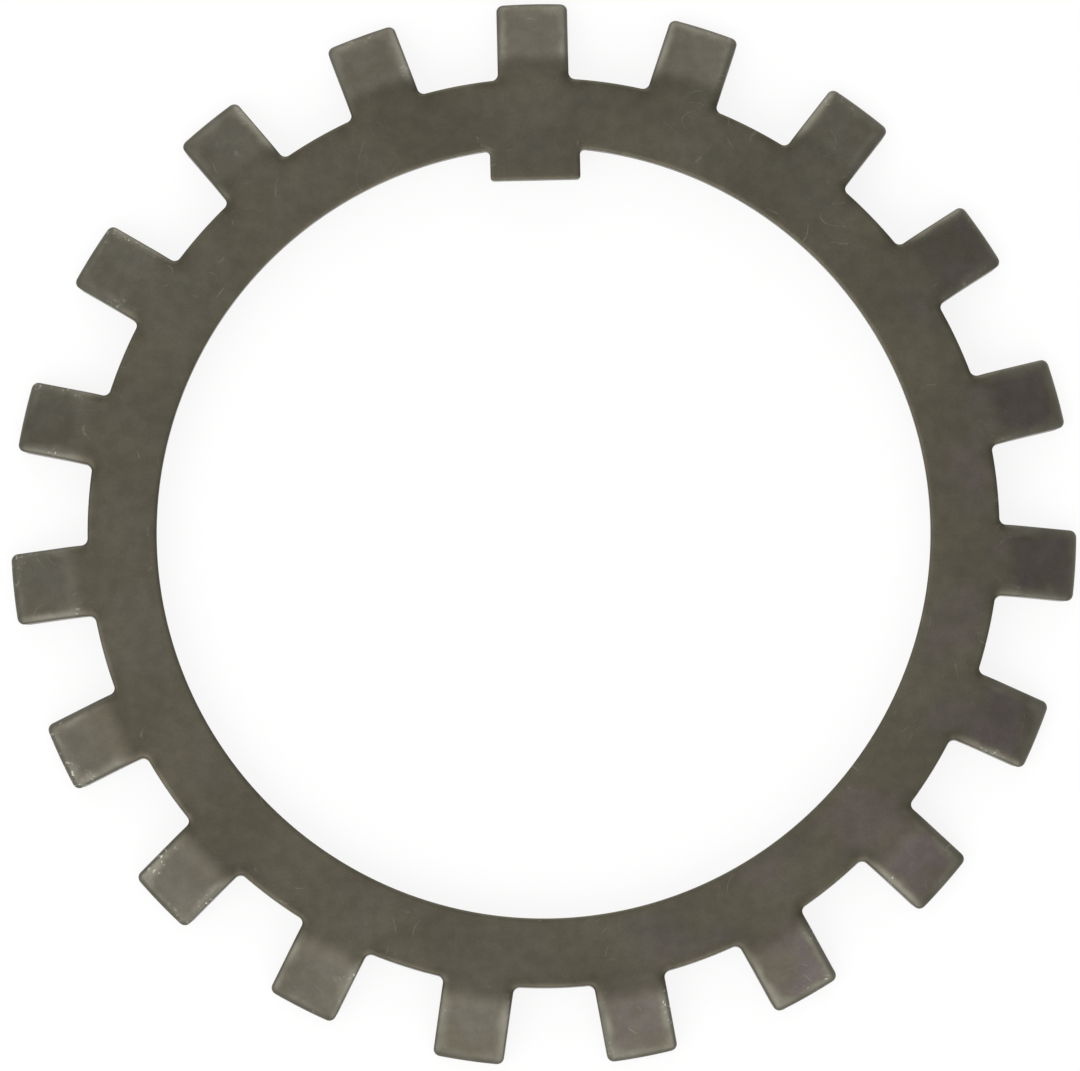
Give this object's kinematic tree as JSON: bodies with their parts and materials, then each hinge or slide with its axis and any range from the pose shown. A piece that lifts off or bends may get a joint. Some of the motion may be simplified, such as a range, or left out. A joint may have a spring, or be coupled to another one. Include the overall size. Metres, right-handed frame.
{
  "type": "bearing lock washer",
  "caption": "Flat steel lock washer for a bearing locknut, with folded outer tabs and one key tang in the bore.",
  "frame": {"origin": "centre of the bore, in the plane of the ring's lower face, which the locknut bears on", "axes": "+Z along the bore axis towards the bearing, so the tabs fold down towards -Z; +Y from the axis through the key tang and the first tab"},
  "size_m": [0.1172, 0.1169, 0.0048],
  "materials": {
    "oiled_steel": "dark grey phosphated and oiled, satin, with bright burnished edges"
  },
  "bodies": {
    "root": {"lock_washer": "oiled_steel"}
  },
  "joints": []
}
